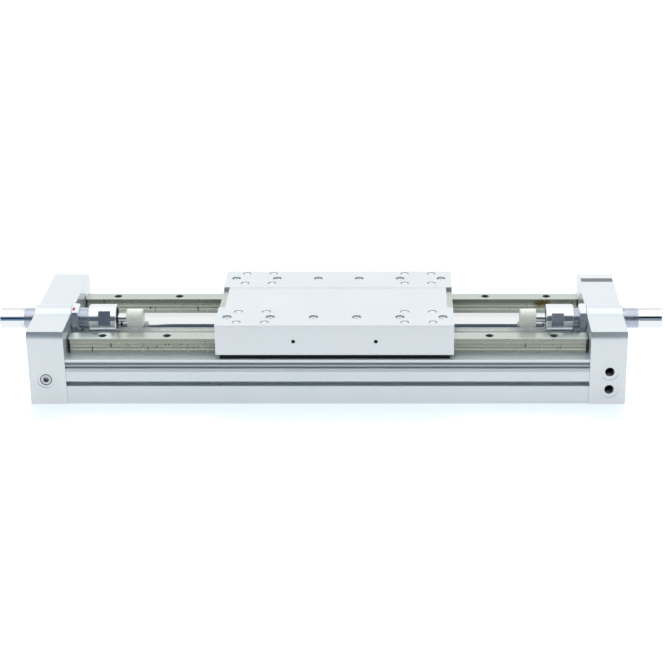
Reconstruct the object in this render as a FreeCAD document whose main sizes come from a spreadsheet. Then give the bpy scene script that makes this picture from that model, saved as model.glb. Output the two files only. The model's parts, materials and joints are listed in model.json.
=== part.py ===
"""Rodless pneumatic linear drive with a magnet-coupled slider and a wide table on two profile rails.

X is the stroke, Z is up, and the origin is on the floor under the middle of the base.
All sizes are millimetres.
"""
import FreeCAD, Part
import math
import os
import Sketcher

SIZES = {
    # base extrusion, with the groove and what lies in it measured down from the top face
    "body_length": 484,
    "base_height": 44,
    "ledge": 17.5,
    "edge_break": 0.6,
    "profile_wall": 5,
    "hollow_low": 13,
    "duct_size": 7,
    "duct_height": 7,
    "slot_height": 20.1,
    "slot_mouth": 4.8,
    "slot_lip": 2.2,
    "slot_room": 8.4,
    "slot_depth": 6.2,
    "brow_low": 12,
    "brow_in": 0.5,
    "groove_low": 8.7,
    "groove_high": 2.2,
    "groove_depth": 3.6,
    "rib_low": 7.5,
    "rib_high": 5.4,
    "rib_step": 2.2,
    # end plates, which rise plate_height over the base, with the upper screws below its top face
    "plate_thick": 33.7,
    "plate_height": 28,
    "plate_lip": 1,
    "crown_drop": 7.5,
    "crown_in": 1.5,
    "plate_thread": 6,
    "plate_hole": 6.6,
    "plate_head": 10,
    "plate_head_height": 6,
    "plate_head_bore": 11,
    "plate_head_depth": 6.6,
    "plate_reach": 18,
    "plate_socket": 5,
    "plate_screw_in": 15,
    "plate_screw_low": 6.2,
    "plate_screw_high": 6.5,
    "port_in": 18.5,
    "port_drill": 8.8,
    "port_depth": 12,
    "port_face": 16,
    "face_depth": 0.6,
    "port_low": 14.6,
    "port_high": 32.2,
    "plug_height": 24.4,
    "plug_hole": 9.8,
    "plug_length": 9,
    "plug_socket": 5,
    "foot_spacing": 90,
    "foot_drill": 6.8,
    "foot_depth": 14,
    # cylinder tube, its axis tube_height over the base
    "tube_height": 2.5,
    "tube_bore": 25,
    "tube_wall": 0.7,
    "tube_seat": 14,
    "seal_width": 2.4,
    "seal_thick": 1.8,
    # profile rails
    "rail_spacing": 100,
    "rail_width": 15,
    "rail_height": 14,
    "rail_gap": 1,
    "rail_pitch": 60,
    "rail_hole": 4.5,
    "rail_bore": 7.5,
    "rail_bore_depth": 5.3,
    "rail_chamfer": 0.3,
    "foot_height": 2.9,
    "neck_depth": 0.9,
    "head_low": 5.6,
    "ball_height": 7.7,
    "ball_half": 1.7,
    "ball_depth": 1.2,
    "small_thread": 4,
    "small_head": 7,
    "small_head_height": 4,
    "small_socket": 3,
    "rail_reach": 12,
    # runner blocks
    "runner_height": 24,
    "runner_width": 34,
    "runner_steel": 44,
    "runner_cap": 8,
    "runner_lift": 4.8,
    "runner_chamfer": 1,
    "runner_pitch": 26,
    "runner_margin": 2.5,
    "runner_reach": 6,
    # table, with the grease holes measured up from the base
    "table_centre": 6.6,
    "table_length": 220,
    "table_plate": 8.8,
    "table_gap": 3.2,
    "skirt": 3.1,
    "skirt_gap": 0.4,
    "table_chamfer": 0.8,
    "zone_width": 52,
    "zone_step": 0.7,
    "notch_depth": 5.5,
    "beam_width": 61,
    "beam_clear": 2.3,
    "tap_drill": 6.8,
    "tap_mouth": 8.6,
    "mouth_depth": 0.5,
    "tap_depth": 8,
    "tap_pitch": 40,
    "tap_spacing": 100,
    "screw_bore": 8,
    "screw_bore_depth": 4.6,
    "screw_hole": 4.5,
    "grease_hole": 3.6,
    "grease_spread": 76,
    "grease_height": 16.5,
    # stop plates of the table, their lowest edge stop_low over the base
    "stop_width": 62,
    "stop_low": 10,
    "stop_drop": 2.8,
    "stop_throat": 31,
    "stop_screw": 16,
    "stop_screw_drop": 8.2,
    "stop_head_depth": 2.8,
    "stop_reach": 12,
    # slider on the tube
    "slider_length": 90,
    "slider_width": 58,
    "slider_drop": 23,
    "slider_rise": 23.5,
    "slider_chamfer": 4,
    "slider_bore": 38.4,
    "channel_side": 2,
    "channel_clear": 5.5,
    "slider_screw_x": 76,
    "slider_screw_y": 48.4,
    "slider_thread": 5,
    "slider_head": 8.5,
    "slider_head_depth": 5.5,
    "slider_socket": 4,
    "slider_reach": 4,
    "magnet_thick": 8,
    "pole_thick": 4,
    "wear_width": 12,
    "wiper_width": 6,
    # piston in the tube
    "shaft_size": 8,
    "piston_length": 18,
    "piston_chamfer": 1.5,
    "guide_start": 3,
    "guide_width": 4,
    "guide_depth": 1.1,
    "lip_start": 9.5,
    "lip_width": 3,
    "lip_depth": 2.4,
    "bumper_size": 18,
    "bumper_width": 3.5,
    "shaft_head": 13,
    "shaft_head_width": 4,
    # shock absorbers
    "shock_offset": 21,
    "shock_depth": 8,
    "boss_radius": 12.5,
    "shock_thread": 20,
    "shock_length": 134.3,
    "shock_stroke": 24,
    "reach_left": 66.6,
    "reach_right": 62.5,
    "tail_size": 19.4,
    "tail_length": 21.3,
    "tail_chamfer": 1.2,
    "relief_width": 1.6,
    "relief_depth": 0.7,
    "sleeve_size": 26,
    "sleeve_length": 25.7,
    "sleeve_chamfer": 0.8,
    "flat_size": 22,
    "flat_start": 5,
    "flat_length": 11.4,
    "rod_size": 8,
    "rod_guide": 26,
    "nose_size": 17.5,
    "nose_length": 15.3,
    "nose_wall": 5,
    "nose_chamfer": 1,
    "nut_flats": 24,
    "nut_thick": 7.2,
    "nut_chamfer": 0.4,
    # clearances
    "fit": 0.05,
    "slide_fit": 0.35,
    "turn_room": 0.5,
}

RAIL_HOLES = 8
TAPS_PER_ROW = 6
MAGNETS = 4


class Size:
    """A length with its spreadsheet expression and its present value."""

    def __init__(self, text, value):
        self.text = text
        self.value = value

    def __add__(self, other):
        other = as_size(other)
        return Size("(%s + %s)" % (self.text, other.text), self.value + other.value)

    def __sub__(self, other):
        other = as_size(other)
        return Size("(%s - %s)" % (self.text, other.text), self.value - other.value)

    def __mul__(self, other):
        other = as_size(other)
        return Size("(%s * %s)" % (self.text, other.text), self.value * other.value)

    def __truediv__(self, other):
        other = as_size(other)
        return Size("(%s / %s)" % (self.text, other.text), self.value / other.value)

    def __neg__(self):
        return self * -1

    def __rsub__(self, other):
        return as_size(other) - self

    __radd__ = __add__
    __rmul__ = __mul__


def as_size(item):
    if isinstance(item, Size):
        return item
    return Size("%.6f" % item, float(item))


doc = FreeCAD.newDocument("linear_drive")
sheet = doc.addObject("Spreadsheet::Sheet", "Params")


class Sizes:
    """Every driving dimension, by its alias in the sheet."""


P = Sizes()
for row, (alias, number) in enumerate(SIZES.items(), 1):
    sheet.set("A%d" % row, alias)
    sheet.set("B%d" % row, str(number))
    sheet.setAlias("B%d" % row, alias)
    setattr(P, alias, Size("Params." + alias, float(number)))
doc.recompute()

NODES = []


def bind(target, path, size):
    target.setExpression(path, as_size(size).text)


def new_body(name, x=0, y=0, z=0, turn=0):
    """A body with its own label, placed at x, y, z and turned about the vertical."""
    body = doc.addObject("PartDesign::Body", name)
    body.Label = name
    body.Placement = FreeCAD.Placement(
        FreeCAD.Vector(), FreeCAD.Rotation(FreeCAD.Vector(0, 0, 1), turn)
    )
    for axis, size in zip("xyz", (x, y, z)):
        bind(body, "Placement.Base." + axis, size)
    NODES.append(body)
    return body


def sketch_on(body, role, name, offset=0, turn=0):
    """A sketch on one of the body's own planes, moved along that plane's normal and turned about it."""
    plane = [item for item in body.Origin.OriginFeatures if item.Role == role][0]
    sketch = body.newObject("Sketcher::SketchObject", body.Label + "_" + name)
    sketch.AttachmentSupport = [(plane, "")]
    sketch.MapMode = "FlatFace"
    sketch.AttachmentOffset = FreeCAD.Placement(
        FreeCAD.Vector(), FreeCAD.Rotation(FreeCAD.Vector(0, 0, 1), turn)
    )
    bind(sketch, "AttachmentOffset.Base.z", offset)
    return sketch


def pin(sketch, geometry, corner, place):
    """Hold one point of the sketch at its two coordinates."""
    for kind, size in zip(("DistanceX", "DistanceY"), place):
        size = as_size(size)
        index = sketch.addConstraint(Sketcher.Constraint(kind, -1, 1, geometry, corner, size.value))
        bind(sketch, "Constraints[%d]" % index, size)


def arc_between(start, end, radius):
    """The short arc from start to end; a negative radius bends it inwards."""
    across = end - start
    left = FreeCAD.Vector(-across.y, across.x, 0).normalize()
    rise = math.sqrt(radius ** 2 - (across.Length / 2) ** 2)
    centre = (start + end) / 2 + left * math.copysign(rise, radius)
    first, last = (start, end) if radius > 0 else (end, start)
    angles = [math.atan2(p.y - centre.y, p.x - centre.x) for p in (first, last)]
    return Part.ArcOfCircle(Part.Circle(centre, FreeCAD.Vector(0, 0, 1), abs(radius)), *angles)


def outline(sketch, points):
    """A closed outline, counter-clockwise. A third value is the radius of the arc to the next point."""
    spots = [FreeCAD.Vector(as_size(p[0]).value, as_size(p[1]).value, 0) for p in points]
    runs = []
    for index, point in enumerate(points):
        start, end = spots[index], spots[(index + 1) % len(points)]
        if len(point) == 2:
            runs.append((sketch.addGeometry(Part.LineSegment(start, end)), 1, 2))
            continue
        radius = as_size(point[2])
        number = sketch.addGeometry(arc_between(start, end, radius.value))
        runs.append((number, 1, 2) if radius.value > 0 else (number, 2, 1))
    for index, (number, first, last) in enumerate(runs):
        following = runs[(index + 1) % len(runs)]
        sketch.addConstraint(Sketcher.Constraint("Coincident", number, last, following[0], following[1]))
        pin(sketch, number, first, points[index][:2])
        if len(points[index]) > 2:
            radius = as_size(points[index][2])
            radius = radius if radius.value > 0 else -radius
            index = sketch.addConstraint(Sketcher.Constraint("Radius", number, radius.value))
            bind(sketch, "Constraints[%d]" % index, radius)


def both_sides(right):
    """The right half of a section, bottom to top, and its mirror image."""
    left = []
    for index in range(len(right) - 1, -1, -1):
        point = [-as_size(right[index][0]), right[index][1]]
        if index > 0 and len(right[index - 1]) > 2:
            point.append(right[index - 1][2])
        left.append(tuple(point))
    return right + left


def rectangle(sketch, low, high):
    outline(sketch, [low, (high[0], low[1]), high, (low[0], high[1])])


def circle(sketch, centre, size):
    size = as_size(size)
    spot = FreeCAD.Vector(as_size(centre[0]).value, as_size(centre[1]).value, 0)
    number = sketch.addGeometry(Part.Circle(spot, FreeCAD.Vector(0, 0, 1), size.value / 2))
    index = sketch.addConstraint(Sketcher.Constraint("Diameter", number, size.value))
    bind(sketch, "Constraints[%d]" % index, size)
    pin(sketch, number, 3, centre)


def hexagon(sketch, centre, flats, turn=0):
    corners = []
    for step in range(6):
        angle = math.radians(turn + 60 * step)
        reach = flats / math.sqrt(3)
        corners.append((centre[0] + reach * math.cos(angle), centre[1] + reach * math.sin(angle)))
    outline(sketch, corners)


WAYS = {"up": ("One side", False), "down": ("One side", True), "both": ("Symmetric", False)}


def pad(body, sketch, length, way="up"):
    """Grow the sketch along its normal, against it, or half each way."""
    grown = body.newObject("PartDesign::Pad", sketch.Name + "_pad")
    grown.Profile = sketch
    bind(grown, "Length", length)
    grown.SideType, grown.Reversed = WAYS[way]
    doc.recompute()


def pocket(body, sketch, depth, way="down"):
    """Cut the sketch into the body; a cut that removes nothing is an error."""
    before = body.Shape.Volume
    cut = body.newObject("PartDesign::Pocket", sketch.Name + "_cut")
    cut.Profile = sketch
    bind(cut, "Length", depth)
    cut.SideType = WAYS[way][0]
    cut.Reversed = way == "up"
    doc.recompute()
    if body.Shape.Volume > before - 0.01:
        raise ValueError(sketch.Name + " cuts nothing")


def turned(name, sections, x=0, y=0, z=0, turn=0):
    """A body turned about its own X axis from sections given as (along, radius) points."""
    body = new_body(name, x, y, z, turn)
    sketch = sketch_on(body, "XZ_Plane", "half")
    for points in sections:
        outline(sketch, points)
    spun = body.newObject("PartDesign::Revolution", name + "_spun")
    spun.Profile = sketch
    spun.ReferenceAxis = (sketch, ["H_Axis"])
    spun.Angle = 360
    doc.recompute()
    return body


def ring(start, end, inner, outer):
    return [(start, inner), (end, inner), (end, outer), (start, outer)]


def span(side, near, far):
    """The low and high end of a stretch that lies on one side of the middle."""
    return (near, far) if side > 0 else (-far, -near)


def groove(body, sketch):
    """Turn the sketch about the body's own X axis and take it away."""
    cut = body.newObject("PartDesign::Groove", sketch.Name + "_cut")
    cut.Profile = sketch
    cut.ReferenceAxis = (sketch, ["H_Axis"])
    cut.Angle = 360
    doc.recompute()


# Places that several pieces share.
base_width = P.rail_spacing + P.rail_width + P.ledge * 2
half_base = base_width / 2
half_body = P.body_length / 2
half_plate = half_base + P.plate_lip
plate_top = P.base_height + P.plate_height
tube_axis = P.base_height + P.tube_height
channel_half = P.slider_width / 2 + P.channel_side
channel_floor = tube_axis - P.slider_drop - P.channel_clear
tube_radius = P.tube_bore / 2 + P.tube_wall
shock_height = plate_top - P.shock_depth
half_rails = P.rail_spacing / 2
rail_half = P.rail_width / 2
runner_top = P.base_height + P.runner_height
table_top = runner_top + P.table_plate
table_half = half_rails + P.runner_width / 2 + P.skirt_gap + P.skirt
half_table = P.table_length / 2
runner_centre = half_table - P.runner_margin - P.runner_cap - P.runner_steel / 2
beam_low = tube_axis + tube_radius + P.beam_clear
slider_top = tube_axis + P.slider_rise
rail_holes = [P.rail_pitch * (number - (RAIL_HOLES - 1) / 2) for number in range(RAIL_HOLES)]
rail_sides = (("front", -1), ("back", 1))
ends = (("left", -1), ("right", 1))
screw_spots = [
    (side * (half_base - P.plate_screw_in), height)
    for side in (-1, 1)
    for height in (P.plate_screw_low, P.base_height - P.plate_screw_high)
]
outward = {-1: "down", 1: "up"}
inward = {-1: "up", 1: "down"}


def base_profile():
    """Drawn aluminium U-section: rail seats, slider channel, side slots, air ducts and screw channels."""
    body = new_body("base_profile")
    section = sketch_on(body, "YZ_Plane", "section")
    lip = half_base - P.slot_lip
    slot_end = half_base - P.slot_depth
    mouth = (P.slot_height - P.slot_mouth / 2, P.slot_height + P.slot_mouth / 2)
    room = (P.slot_height - P.slot_room / 2, P.slot_height + P.slot_room / 2)
    groove_end = half_base - P.groove_depth
    rib_end = half_base - P.rib_step
    brow = P.base_height - P.brow_low
    trough = (P.base_height - P.groove_low, P.base_height - P.groove_high)
    rib = (P.base_height - P.rib_low, P.base_height - P.rib_high)
    outline(section, both_sides([
        (half_base, 0),
        (half_base, mouth[0]), (lip, mouth[0]), (lip, room[0]), (slot_end, room[0]),
        (slot_end, room[1]), (lip, room[1]), (lip, mouth[1]), (half_base, mouth[1]),
        (half_base, brow), (half_base - P.brow_in, trough[0]), (groove_end, trough[0]),
        (groove_end, rib[0]), (rib_end, rib[0]), (rib_end, rib[1]), (groove_end, rib[1]),
        (groove_end, trough[1]), (half_base, trough[1]),
        (half_base, P.base_height - P.edge_break), (half_base - P.edge_break, P.base_height),
        (channel_half, P.base_height), (channel_half, channel_floor),
    ]))
    hollow_top = P.base_height - P.rail_reach - P.profile_wall * 0.6
    for side in (-1, 1):
        near = side * (channel_half + P.profile_wall)
        far = side * (slot_end - P.profile_wall)
        rectangle(section, (near, P.hollow_low), (far, hollow_top))
        near = side * P.profile_wall / 2
        far = side * (channel_half - P.profile_wall / 2)
        rectangle(section, (near, P.profile_wall), (far, channel_floor - P.profile_wall))
        circle(section, (side * (channel_half + P.duct_size / 2), P.duct_height), P.duct_size)
    for spot in screw_spots:
        circle(section, spot, P.plate_thread + P.fit * 2)
    pad(body, section, P.body_length, "both")
    taps = sketch_on(body, "XY_Plane", "rail_taps", P.base_height)
    for name, side in rail_sides:
        for along in rail_holes:
            circle(taps, (along, side * half_rails), P.small_thread + P.fit * 2)
    pocket(body, taps, P.rail_reach + P.turn_room)


def end_plate(name, side):
    """Milled aluminium plate with crowned long edges and a half-round boss over the shock absorber."""
    body = new_body("end_plate_" + name, x=side * half_body)
    crown = (P.crown_drop * P.crown_drop + P.crown_in * P.crown_in) / (P.crown_in * 2)
    section = sketch_on(body, "YZ_Plane", "section")
    outline(section, both_sides([
        (half_plate, 0),
        (half_plate, plate_top - P.crown_drop, crown),
        (half_plate - P.crown_in, plate_top),
    ]))
    pad(body, section, P.plate_thick, outward[side])
    boss = sketch_on(body, "YZ_Plane", "boss")
    circle(boss, (-P.shock_offset, shock_height), P.boss_radius * 2)
    pad(body, boss, P.plate_thick, outward[side])
    shock_hole = sketch_on(body, "YZ_Plane", "shock_hole")
    circle(shock_hole, (-P.shock_offset, shock_height), P.shock_thread + P.fit * 2)
    pocket(body, shock_hole, P.plate_thick, outward[side])
    seat = sketch_on(body, "YZ_Plane", "tube_seat")
    circle(seat, (0, tube_axis), (tube_radius + P.fit) * 2)
    pocket(body, seat, P.tube_seat, outward[side])
    recess = sketch_on(body, "YZ_Plane", "seal_recess")
    circle(recess, (0, tube_axis), (tube_radius + P.seal_thick) * 2)
    pocket(body, recess, P.seal_width, outward[side])
    holes = sketch_on(body, "YZ_Plane", "screw_holes")
    for spot in screw_spots:
        circle(holes, spot, P.plate_hole)
    pocket(body, holes, P.plate_thick, outward[side])
    bores = sketch_on(body, "YZ_Plane", "head_bores", side * P.plate_thick)
    for spot in screw_spots:
        circle(bores, spot, P.plate_head_bore)
    pocket(body, bores, P.plate_head_depth, inward[side])
    heights = [P.plug_height] if side < 0 else [P.port_low, P.port_high]
    drill = P.plug_hole if side < 0 else P.port_drill
    for height in heights:
        for size, depth in ((P.port_face, P.face_depth), (drill, P.port_depth)):
            port = sketch_on(body, "XZ_Plane", "port", half_plate)
            circle(port, (side * P.port_in, height), size)
            pocket(body, port, depth)
    feet = sketch_on(body, "XY_Plane", "foot_taps")
    for across in (-1, 1):
        circle(feet, (side * P.plate_thick / 2, across * P.foot_spacing / 2), P.foot_drill)
    pocket(body, feet, P.foot_depth, "up")


def plate_screws(name, side):
    """Four socket screws that pull an end plate onto the base."""
    body = new_body("plate_screws_" + name, x=side * half_body)
    seat = P.plate_thick - P.plate_head_depth
    shanks = sketch_on(body, "YZ_Plane", "shanks", side * seat)
    heads = sketch_on(body, "YZ_Plane", "heads", side * seat)
    sockets = sketch_on(body, "YZ_Plane", "sockets", side * (seat + P.plate_head_height))
    for spot in screw_spots:
        circle(shanks, spot, P.plate_thread)
        circle(heads, spot, P.plate_head)
        hexagon(sockets, spot, P.plate_socket)
    pad(body, shanks, seat + P.plate_reach, inward[side])
    pad(body, heads, P.plate_head_height, outward[side])
    pocket(body, sockets, P.plate_head_height / 2, inward[side])


def port_plug():
    """Screwed plug with a hexagon socket that closes the spare port."""
    radius = P.plug_hole / 2 - P.fit
    body = turned("port_plug", [[
        (-P.face_depth - P.plug_length, 0),
        (-P.face_depth, 0),
        (-P.face_depth, radius),
        (-P.face_depth - P.plug_length, radius),
    ]], x=-half_body - P.port_in, y=-half_plate, z=P.plug_height, turn=-90)
    socket = sketch_on(body, "YZ_Plane", "socket", -P.face_depth)
    hexagon(socket, (as_size(0), as_size(0)), P.plug_socket)
    pocket(body, socket, P.plug_length / 2)


def cylinder_tube():
    """Thin stainless tube that carries the air and lets the magnets pull through its wall."""
    reach = half_body + P.tube_seat - P.fit
    turned("cylinder_tube", [ring(-reach, reach, P.tube_bore / 2, tube_radius)], z=tube_axis)
    for name, side in ends:
        low, high = span(side, half_body, half_body + P.seal_width)
        seal = ring(low, high, tube_radius, tube_radius + P.seal_thick)
        turned("tube_seal_" + name, [seal], z=tube_axis)


ball_radius = (P.ball_half * P.ball_half + P.ball_depth * P.ball_depth) / (P.ball_depth * 2)


def rail(name, side):
    """Ground steel profile rail: ball grooves in the head, waisted neck, counterbored screw holes."""
    body = new_body("rail_" + name, y=side * half_rails, z=P.base_height)
    section = sketch_on(body, "YZ_Plane", "section")
    neck = rail_half - P.neck_depth
    outline(section, both_sides([
        (rail_half, 0),
        (rail_half, P.foot_height),
        (neck, P.foot_height + P.neck_depth),
        (neck, P.head_low - P.neck_depth),
        (rail_half, P.head_low),
        (rail_half, P.ball_height - P.ball_half, -ball_radius),
        (rail_half, P.ball_height + P.ball_half),
        (rail_half, P.rail_height - P.rail_chamfer),
        (rail_half - P.rail_chamfer, P.rail_height),
    ]))
    pad(body, section, P.body_length - P.rail_gap * 2, "both")
    for label, size, depth in (
        ("holes", P.rail_hole, P.rail_height),
        ("bores", P.rail_bore, P.rail_bore_depth),
    ):
        cuts = sketch_on(body, "XY_Plane", label, P.rail_height)
        for along in rail_holes:
            circle(cuts, (along, 0), size)
        pocket(body, cuts, depth)


def socket_screws(body, spots, seat, reach):
    """Small socket screws whose heads sit at one height of the body."""
    shanks = sketch_on(body, "XY_Plane", "shanks", seat)
    heads = sketch_on(body, "XY_Plane", "heads", seat)
    sockets = sketch_on(body, "XY_Plane", "sockets", seat + P.small_head_height)
    for spot in spots:
        circle(shanks, spot, P.small_thread)
        circle(heads, spot, P.small_head)
        hexagon(sockets, spot, P.small_socket)
    pad(body, shanks, reach, "down")
    pad(body, heads, P.small_head_height)
    pocket(body, sockets, P.small_head_height / 2)


def rail_screws(name, side):
    """The row of socket screws that holds a rail down."""
    body = new_body("rail_screws_" + name, y=side * half_rails, z=P.base_height)
    seat = P.rail_height - P.rail_bore_depth
    socket_screws(body, [(along, as_size(0)) for along in rail_holes], seat, seat + P.rail_reach)


def runner(name, across, along):
    """Steel runner block that wraps the rail's head, with plastic return caps at both ends."""
    place = {
        "x": P.table_centre + along * runner_centre,
        "y": across * half_rails,
        "z": P.base_height,
    }
    outer = P.runner_width / 2
    inner = rail_half + P.slide_fit
    bridge = P.rail_height + P.slide_fit
    ridge = P.ball_half - P.slide_fit
    mantle = [
        (inner, P.runner_lift), (outer, P.runner_lift),
        (outer, P.runner_height - P.runner_chamfer), (outer - P.runner_chamfer, P.runner_height),
    ]
    ball_row = [
        (inner, bridge),
        (inner, P.ball_height + ridge, ball_radius - P.slide_fit),
        (inner, P.ball_height - ridge),
    ]
    body = new_body("runner_" + name, **place)
    section = sketch_on(body, "YZ_Plane", "section")
    outline(section, both_sides(ball_row + mantle))
    pad(body, section, P.runner_steel, "both")
    taps = sketch_on(body, "XY_Plane", "taps", P.runner_height)
    for x in (-1, 1):
        for y in (-1, 1):
            circle(taps, (x * P.runner_pitch / 2, y * P.runner_pitch / 2), P.small_thread + P.fit * 2)
    pocket(body, taps, P.runner_reach + P.turn_room)

    caps = new_body("runner_caps_" + name, **place)
    outer = outer - P.turn_room
    top = P.runner_height - P.turn_room
    for label, side in ends:
        section = sketch_on(caps, "YZ_Plane", label, side * P.runner_steel / 2)
        outline(section, both_sides([
            (inner, bridge), (inner, P.runner_lift), (outer, P.runner_lift),
            (outer, top - P.runner_chamfer), (outer - P.runner_chamfer, top),
        ]))
        pad(caps, section, P.runner_cap, outward[side])


runner_screw_spots = [
    (along * runner_centre + x * P.runner_pitch / 2, across * half_rails + y * P.runner_pitch / 2)
    for along in (-1, 1)
    for across in (-1, 1)
    for x in (-1, 1)
    for y in (-1, 1)
]
slider_screw_spots = [
    (x * P.slider_screw_x / 2, y * P.slider_screw_y / 2)
    for x in (-1, 1)
    for y in (-1, 1)
]
stop_screw_spots = [(across * P.stop_screw / 2, table_top - P.stop_screw_drop) for across in (-1, 1)]


def table():
    """Milled aluminium table: runner seats, thin side skirts, lowered middle and notched ends."""
    body = new_body("table", x=P.table_centre)
    zone_half = P.zone_width / 2
    beam_half = P.beam_width / 2
    skirt_low = P.base_height + P.table_gap
    section = sketch_on(body, "YZ_Plane", "section")
    outline(section, both_sides([
        (beam_half, beam_low), (beam_half, runner_top),
        (table_half - P.skirt, runner_top), (table_half - P.skirt, skirt_low), (table_half, skirt_low),
        (table_half, table_top - P.table_chamfer), (table_half - P.table_chamfer, table_top),
        (zone_half, table_top), (zone_half - P.zone_step, table_top - P.zone_step),
    ]))
    pad(body, section, P.table_length, "both")
    slider_room = sketch_on(body, "XY_Plane", "slider_room", beam_low)
    room = P.slider_length / 2 + P.turn_room
    rectangle(slider_room, (-room, -beam_half), (room, beam_half))
    pocket(body, slider_room, slider_top - beam_low, "up")
    notches = sketch_on(body, "XY_Plane", "notches", table_top)
    notch_start = half_table - P.notch_depth
    for side in (-1, 1):
        rectangle(notches, (side * notch_start, -zone_half), (side * half_table, zone_half))
    pocket(body, notches, table_top - beam_low)
    rows = [
        (P.tap_pitch * (number - (TAPS_PER_ROW - 1) / 2), across * P.tap_spacing / 2)
        for number in range(TAPS_PER_ROW)
        for across in (-1, 1)
    ]
    for label, spots, size, depth in (
        ("taps", rows, P.tap_drill, P.tap_depth),
        ("tap_mouths", rows, P.tap_mouth, P.mouth_depth),
        ("screw_holes", runner_screw_spots, P.screw_hole, P.table_plate),
        ("screw_bores", runner_screw_spots, P.screw_bore, P.screw_bore_depth),
    ):
        holes = sketch_on(body, "XY_Plane", label, table_top)
        for spot in spots:
            circle(holes, spot, size)
        pocket(body, holes, depth)
    slider_taps = sketch_on(body, "XY_Plane", "slider_taps", slider_top)
    for spot in slider_screw_spots:
        circle(slider_taps, spot, P.slider_thread + P.fit * 2)
    pocket(body, slider_taps, P.slider_reach + P.fit, "up")
    for name, side in rail_sides:
        grease = sketch_on(body, "XZ_Plane", "grease_" + name, -side * table_half)
        for along in (-1, 1):
            circle(grease, (along * P.grease_spread / 2, P.base_height + P.grease_height), P.grease_hole)
        pocket(body, grease, P.skirt, "down" if side < 0 else "up")
    for name, side in ends:
        taps = sketch_on(body, "YZ_Plane", "stop_taps_" + name, side * notch_start)
        for spot in stop_screw_spots:
            circle(taps, spot, P.small_thread + P.fit * 2)
        pocket(body, taps, P.stop_reach + P.turn_room, inward[side])


def table_screws():
    """Socket screws that hold the table on its four runner blocks."""
    body = new_body("table_screws", x=P.table_centre)
    seat = table_top - P.screw_bore_depth
    socket_screws(body, runner_screw_spots, seat, seat - runner_top + P.runner_reach)


def stop_plate(name, side):
    """Hardened plate in the table's notch that meets the shock absorber; it straddles the tube."""
    body = new_body("stop_plate_" + name, x=P.table_centre + side * (half_table - P.notch_depth))
    half_zone = P.zone_width / 2 - P.fit * 4
    shoulder = beam_low - P.fit * 4
    stop_foot = P.base_height + P.stop_low
    section = sketch_on(body, "YZ_Plane", "section")
    outline(section, both_sides([
        (P.stop_throat / 2, beam_low), (P.stop_throat / 2, stop_foot), (P.stop_width / 2, stop_foot),
        (P.stop_width / 2, shoulder), (half_zone, shoulder), (half_zone, table_top - P.stop_drop),
    ]))
    pad(body, section, P.notch_depth, outward[side])
    holes = sketch_on(body, "YZ_Plane", "holes")
    bores = sketch_on(body, "YZ_Plane", "bores", side * P.notch_depth)
    for spot in stop_screw_spots:
        circle(holes, spot, P.screw_hole)
        circle(bores, spot, P.small_head + P.turn_room)
    pocket(body, holes, P.notch_depth, outward[side])
    pocket(body, bores, P.stop_head_depth, inward[side])

    screws = new_body("stop_screws_" + name, x=P.table_centre + side * (half_table - P.stop_head_depth))
    head = P.stop_head_depth - P.fit * 4
    shanks = sketch_on(screws, "YZ_Plane", "shanks")
    heads = sketch_on(screws, "YZ_Plane", "heads")
    sockets = sketch_on(screws, "YZ_Plane", "sockets", side * head)
    for spot in stop_screw_spots:
        circle(shanks, spot, P.small_thread)
        circle(heads, spot, P.small_head)
        hexagon(sockets, spot, P.small_socket)
    pad(screws, shanks, P.notch_depth - P.stop_head_depth + P.stop_reach, inward[side])
    pad(screws, heads, head, outward[side])
    pocket(screws, sockets, head / 2, inward[side])


def ring_stack(magnet_bore, pole_bore, outer):
    """Ring magnets with a steel pole ring between every two and one at each end."""
    step = P.magnet_thick + P.pole_thick
    start = -(step * MAGNETS + P.pole_thick) / 2
    starts = [start + step * number for number in range(MAGNETS + 1)]
    poles = [ring(low, low + P.pole_thick, pole_bore, outer) for low in starts]
    magnets = [ring(low + P.pole_thick, low + step, magnet_bore, outer) for low in starts[:-1]]
    return magnets, poles, -start


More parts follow.
